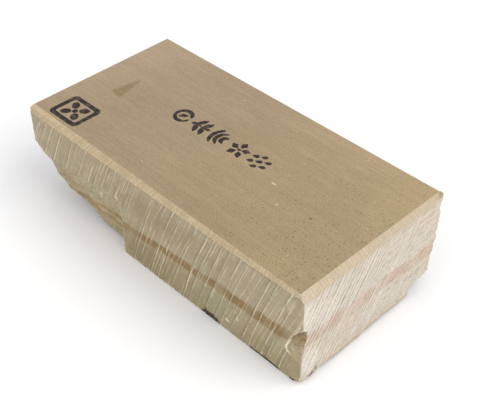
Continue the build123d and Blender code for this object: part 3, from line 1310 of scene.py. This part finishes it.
@dataclass
class StoneBlock:
    """The stone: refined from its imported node, sorted into finishes, then cut into relief."""

    octree_depth: int = 9
    octree_share: float = 0.556  # with that depth, the mesh is 0.7 mm fine
    face_snap: float = 0.4  # within this of the working face, a point is put on it, in millimetres
    plane_slack: float = 0.06  # a face this near to the plane of a side or end belongs to it
    relief_room: float = 0.3  # how far relief may stand outside the block
    chamfer_drop: float = 5.0  # the chamfers lie within this of the working face
    chamfer_width: float = 3.6  # and reach in this far
    chamfer_tilt: float = 0.2  # and look up more than this
    plain_share: float = 0.60  # of the triangles, left after the plain flats are thinned
    skin_flat: float = -0.85  # what looks down more than this kept its natural skin
    skin_slope: float = -0.5  # so did slopes that look down more than this
    skin_from_front: float = 15.0  # and lie this far behind the front
    skin_height: float = 30.0  # all of it lies below this height
    touch: float = 0.01  # a point this near to a plane lies on it
    flat: float = 0.9995  # how straight up or down the normals of the plain flats look
    edge_turn: float = 0.94  # length of the mean normal at a point that counts as a full edge
    smooth_angle: float = math.radians(38)

    def __post_init__(self) -> None:
        """Reads the block's size from the frame."""
        low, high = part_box("stone_block")
        self.low = np.array(low) / MM
        self.high = np.array(high) / MM

    def refined(self) -> bpy.types.Object:
        """Gives the stone an even, fine mesh that keeps its sharp edges.

        Returns:
            The stone as a new object.
        """
        piece = new_piece("stone", merged_copy("stone_block"))
        remesh = piece.modifiers.new("refine", "REMESH")
        remesh.mode = "SHARP"
        remesh.octree_depth = self.octree_depth
        remesh.scale = self.octree_share
        remesh.use_remove_disconnected = False
        keep_result(piece)
        return piece

    def level(self, piece: bpy.types.Object) -> None:
        """Fills the shallow ink pockets and puts stray points back on the flat faces.

        Args:
            piece: the object.
        """
        points = np.clip(points_of(piece.data), self.low, self.high)
        x, y, z = points.T
        inner = (x < self.high[0] - self.chamfer_width) & (y > self.low[1] + self.chamfer_width)
        points[(z > self.high[2] - self.face_snap) & inner, 2] = self.high[2]
        move_points(piece.data, points)

    def rest(self, piece: bpy.types.Object) -> None:
        """Keeps the relief above the resting plane and close to the block's own size."""
        room = np.array((self.relief_room, self.relief_room, 0.0))
        move_points(piece.data, np.clip(points_of(piece.data), self.low - room, self.high + room))

    def thin_flats(self, piece: bpy.types.Object) -> None:
        """Takes triangles out of the working face and the resting face, which have no relief.

        Args:
            piece: the object.
        """
        points = points_of(piece.data)
        normals = read(piece.data.vertices, "normal")
        face = (points[:, 2] > self.high[2] - self.touch) & (normals[:, 2] > self.flat)
        rest = (points[:, 2] < self.touch) & (normals[:, 2] < -self.flat)
        group = piece.vertex_groups.new(name="plain")
        group.add([int(index) for index in np.nonzero(face | rest)[0]], 1.0, "REPLACE")
        thin = piece.modifiers.new("thin", "DECIMATE")
        thin.ratio = self.plain_share
        thin.vertex_group = group.name
        thin.vertex_group_factor = 1.0
        keep_result(piece)
        piece.vertex_groups.clear()

    def sort_faces(self, mesh: bpy.types.Mesh) -> np.ndarray:
        """The finish of each face, from where it is and which way it looks.

        Args:
            mesh: the refined stone.

        Returns:
            One Finish value for each face.
        """
        x, y, z = (read(mesh.polygons, "center") / MM).T
        across, deep, up = read(mesh.polygons, "normal").T
        slack, square = self.plane_slack, 0.999
        side = (abs(deep) > square) & (np.minimum(y - self.low[1], self.high[1] - y) < slack)
        end = (abs(across) > square) & (np.minimum(x - self.low[0], self.high[0] - x) < slack)
        slopes = (up < self.skin_slope) & (y > self.low[1] + self.skin_from_front)
        under = (up < self.skin_flat) | slopes
        finish = np.full(len(x), Finish.SPLIT.value)
        finish[side] = Finish.SAWN_SIDE.value
        finish[end] = Finish.SAWN_END.value
        finish[under & (z < self.skin_height)] = Finish.SKIN.value
        finish[(up > self.chamfer_tilt) & (z > self.high[2] - self.chamfer_drop)] = Finish.FILED.value
        finish[(up > square) & (z > self.high[2] - slack)] = Finish.RUBBED.value
        return finish

    def mark(self, piece: bpy.types.Object) -> None:
        """Writes the finishes and the edges on the mesh as attributes.

        Args:
            piece: the object.
        """
        mesh = piece.data
        finish = self.sort_faces(mesh)
        mesh.attributes.new("finish", "INT", "FACE").data.foreach_set("value", finish.astype(np.int32))
        corners = read(mesh.loops, "vertex_index", 1, np.int32)
        sizes = read(mesh.polygons, "loop_total", 1, np.int32)
        per_corner = np.repeat(finish, sizes)
        count = len(mesh.vertices)
        whole = np.bincount(corners, minlength=count)
        for kind in Finish:
            share = np.bincount(corners, per_corner == kind.value, minlength=count) / whole
            layer = mesh.attributes.new(f"is_{kind.name.lower()}", "FLOAT", "POINT")
            layer.data.foreach_set("value", share.astype(np.float32))
        edge = self.edges(mesh, corners, sizes)
        mesh.attributes.new("edge", "FLOAT", "POINT").data.foreach_set("value", edge.astype(np.float32))

    def edges(self, mesh: bpy.types.Mesh, corners: np.ndarray, sizes: np.ndarray) -> np.ndarray:
        """How near each point is to a sharp edge, from 0 to 1.

        Args:
            mesh: the refined stone.
            corners: the vertex of each face corner.
            sizes: how many corners each face has.

        Returns:
            One value for each vertex.
        """
        per_corner = np.repeat(read(mesh.polygons, "normal"), sizes, axis=0)
        count = len(mesh.vertices)
        whole = np.bincount(corners, minlength=count)
        total = [np.bincount(corners, per_corner[:, axis], minlength=count) / whole for axis in range(3)]
        level = np.sqrt(sum(part**2 for part in total))
        edge = np.clip((1 - level) / (1 - self.edge_turn), 0, 1)
        first, second = read(mesh.edges, "vertices", 2, np.int32).T
        for _ in range(2):
            spread = edge.copy()
            np.maximum.at(spread, first, edge[second] * 0.5)
            np.maximum.at(spread, second, edge[first] * 0.5)
            edge = spread
        return edge

    def build(self) -> bpy.types.Object:
        """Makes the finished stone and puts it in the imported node's place.

        Returns:
            The piece.
        """
        piece = self.refined()
        self.level(piece)
        self.thin_flats(piece)
        self.mark(piece)
        reliefs = [
            Relief(Finish.RUBBED, RubbedFace().build(), 0.0, 0.25),
            Relief(Finish.FILED, FiledChamfer().build(), 0.10, 0.35),
            Relief(Finish.SAWN_SIDE, SawnSide().build(), 0.22, 0.5),
            Relief(Finish.SAWN_END, SawnEnd().build(), 0.22, 0.5),
            Relief(Finish.SPLIT, SplitRock().build(), 1.0, 0.4),
            Relief(Finish.SKIN, NaturalSkin().build(), 0.6, 0.3),
        ]
        for relief in reliefs:
            relief.apply(piece)
        self.rest(piece)
        shape = piece.data
        shape.shade_smooth()
        shape.set_sharp_from_angle(angle=self.smooth_angle)
        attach(piece, "root")
        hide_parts("stone_block")
        return piece


@dataclass
class InkMark:
    """One ink mark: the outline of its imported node, bled a little into the stone."""

    node: str
    step: float = 0.22  # between points of the outline, in millimetres
    bleed: float = 0.42  # how far the ink wanders over it
    stand: float = 0.05  # how far it stands over the face, so that it shows
    touch: float = 0.01  # a point this near to the top of the node lies on its upper face
    material: Optional[bpy.types.Material] = None

    def outlines(self) -> List[List[Vector]]:
        """The closed outlines of the node's upper face.

        Returns:
            The points of each outline, in order.
        """
        shape = bmesh.new()
        shape.from_mesh(merged_copy(self.node))
        top = max(vertex.co.z for vertex in shape.verts)
        # In the mesh's own order, so that every run starts each outline at the same point
        level = top - self.touch * MM
        upper = dict.fromkeys(face for face in shape.faces if min(v.co.z for v in face.verts) > level)
        after: Dict[bmesh.types.BMVert, bmesh.types.BMVert] = {}
        for face in upper:
            for loop in face.loops:
                if not all(other in upper for other in loop.edge.link_faces):
                    after[loop.vert] = loop.link_loop_next.vert
        found = []
        while after:
            start, here = after.popitem()
            outline = [start.co.copy()]
            while here is not start:
                outline.append(here.co.copy())
                here = after.pop(here)
            found.append(outline)
        shape.free()
        return found

    def curve(self) -> bpy.types.Object:
        """The outlines as one curve object.

        Returns:
            The curve object.
        """
        data = bpy.data.curves.new(f"{self.node}_outline", "CURVE")
        data.dimensions = "3D"
        for outline in sorted(self.outlines(), key=lambda points: (len(points), points[0].x)):
            spline = data.splines.new("POLY")
            spline.points.add(len(outline) - 1)
            for point, place in zip(spline.points, outline):
                point.co = (*place, 1.0)
            spline.use_cyclic_u = True
        guide = bpy.data.objects.new(data.name, data)
        bpy.context.scene.collection.objects.link(guide)
        return guide

    def maker(self, thickness: float) -> Maker:
        """The tree that roughens an outline, fills it and gives it a thickness.

        Args:
            thickness: of the ink, in metres.

        Returns:
            The tree, ready to run on the curve.
        """
        sizes = {"Step": self.step * MM, "Bleed": self.bleed, "Thickness": thickness}
        maker = Maker("spread_ink", sizes)
        tree = maker.tree
        inputs = {"Curve": maker.given, "Length": maker.size("Step")}
        even = tree.node("GeometryNodeResampleCurve", {"mode": "LENGTH"}, inputs)
        place = tree.place()
        along = self.swing(tree, place, 1.3) * 0.7 + self.swing(tree, place, 0.55) * 0.5
        # The same noise looked up elsewhere, so that it differs from the first
        side = self.swing(tree, tree.shifted(place, (31.0, 17.0, 0.0)), 1.3) * 0.7
        bleed = maker.size("Bleed") * MM
        offset = tree.vector(along * bleed, side * bleed, 0.0)
        rough = tree.node("GeometryNodeSetPosition", inputs={"Geometry": even, "Offset": offset})
        filled = tree.node("GeometryNodeFillCurve", inputs={"Curve": rough})
        inputs = {"Mesh": filled, "Offset": (0.0, 0.0, 1.0), "Individual": False}
        inputs["Offset Scale"] = maker.size("Thickness")
        raised = tree.node("GeometryNodeExtrudeMesh", {"mode": "FACES"}, inputs)
        under = tree.node("GeometryNodeFlipFaces", inputs={"Mesh": filled})
        both = tree.tree.nodes.new("GeometryNodeJoinGeometry")
        for part in (raised, under):
            tree.tree.links.new(part.socket, both.inputs[0])
        inputs = {"Geometry": Val(tree, both.outputs[0]), "Distance": 0.001 * MM}
        closed = tree.node("GeometryNodeMergeByDistance", inputs=inputs)
        maker.end(closed, self.material)
        return maker

    @staticmethod
    def swing(tree: Tree, place: Val, size: float) -> Val:
        """Noise from about -1 to 1."""
        return tree.sway(place, size, 2.4)

    def build(self) -> bpy.types.Object:
        """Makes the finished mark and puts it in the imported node's place.

        Returns:
            The piece.
        """
        low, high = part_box(self.node)
        guide = self.curve()
        self.maker(self.stand * MM + high[2] - low[2]).attach(guide)
        mesh = result_of(guide)
        bpy.data.objects.remove(guide)
        mesh.transform(Matrix.Translation((0.0, 0.0, low[2])))
        piece = new_piece(f"{self.node}_brushed", mesh)
        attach(piece, "root")
        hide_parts(self.node)
        return piece


@dataclass(frozen=True)
class Lamp:
    """A square soft light that looks at the stone."""

    name: str
    place: Axes  # where it hangs, in metres
    side: float  # how long each of its sides is, in metres
    watts: float
    colour: Colour

    def hang(self) -> None:
        """Adds the light to the scene."""
        data = bpy.data.lights.new(self.name, "AREA")
        data.size = self.side
        data.energy = self.watts
        data.color = self.colour
        lamp = bpy.data.objects.new(self.name, data)
        lamp.location = self.place
        lamp.rotation_euler = Vector(self.place).to_track_quat("Z", "Y").to_euler()
        bpy.context.scene.collection.objects.link(lamp)


@dataclass
class Studio:
    """A pale floor, soft light and the camera."""

    floor_half: float = 3.0  # half the side of the floor, in metres
    floor_colour: Colour = (0.93, 0.935, 0.955)
    sky: float = 0.80  # strength of the light from all round
    sky_colour: Colour = (1.0, 0.995, 0.985)
    azimuth: float = 44.9  # of the camera, round from the front, in degrees
    elevation: float = 40.72
    roll: float = 0.11
    distance: float = 0.5353  # from the origin along its axis, in metres
    aim: Tuple[float, float] = (0.01306, 0.01744)  # how far its axis passes right of and above the origin
    lens: float = 68.7  # in millimetres
    lamps: Tuple[Lamp, ...] = (
        Lamp("key", (1.6, 0.56, 1.88), 2.0, 33.0, (1.0, 0.99, 0.975)),
        Lamp("fill", (-0.3, -1.2, 0.9), 1.2, 3.0, (1.0, 0.99, 0.97)),
    )

    def floor(self) -> bpy.types.Object:
        """Makes the floor, with a faint unevenness so that it isn't one flat colour.

        Returns:
            The floor.
        """
        mesh = bpy.data.meshes.new("floor")
        half = self.floor_half
        corners = [(-half, -half, 0), (half, -half, 0), (half, half, 0), (-half, half, 0)]
        mesh.from_pydata(corners, [], [(0, 1, 2, 3)])
        painted = Painted("pale_floor")
        tree = painted.tree
        cloud = tree.noise(tree.place(), 160.0, 1.0)
        colour = tree.shaded(self.floor_colour, (cloud - 0.5) * 0.02 + 1.0)
        mesh.materials.append(painted.dress(colour, 0.9, cloud, 0.01))
        piece = new_piece("floor", mesh)
        return piece

    def world(self) -> None:
        """Lights the scene evenly from all round."""
        world = bpy.data.worlds.new("studio")
        world.use_nodes = True
        sky = world.node_tree.nodes["Background"]
        sky.inputs["Color"].default_value = (*self.sky_colour, 1.0)
        sky.inputs["Strength"].default_value = self.sky
        bpy.context.scene.world = world

    def camera(self) -> None:
        """Places the camera."""
        turn, tilt, lean = (math.radians(angle) for angle in (self.azimuth, self.elevation, self.roll))
        back = Vector((math.sin(turn) * math.cos(tilt), -math.cos(turn) * math.cos(tilt), math.sin(tilt)))
        right = Vector((math.cos(turn), math.sin(turn), 0.0))
        up = back.cross(right)
        leaned_right = right * math.cos(lean) + up * math.sin(lean)
        leaned_up = up * math.cos(lean) - right * math.sin(lean)
        place = leaned_right * self.aim[0] + leaned_up * self.aim[1] + back * self.distance
        data = bpy.data.cameras.new("camera")
        data.lens = self.lens
        data.clip_start = 0.01
        camera = bpy.data.objects.new("camera", data)
        axes = Matrix((leaned_right, leaned_up, back)).transposed().to_4x4()
        camera.matrix_world = Matrix.Translation(place) @ axes
        bpy.context.scene.collection.objects.link(camera)
        bpy.context.scene.camera = camera

    def build(self) -> None:
        """Makes the whole studio."""
        bpy.context.scene.view_settings.view_transform = "Standard"
        self.camera()
        self.floor()
        self.world()
        for lamp in self.lamps:
            lamp.hang()


def main() -> None:
    """Builds every piece in order and reports each."""
    logging.basicConfig(level=logging.INFO, format="%(name)s: %(message)s")
    Studio().build()
    pieces = [StoneBlock().build()]
    ink = BrushInk().build()
    for node in sorted(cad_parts):
        if node.startswith("ink_"):
            pieces.append(InkMark(node, material=ink).build())
    for piece in pieces:
        piece.data.calc_loop_triangles()
        log.info("%s: %d triangles", piece.name, len(piece.data.loop_triangles))


if __name__ == "__main__":
    main()
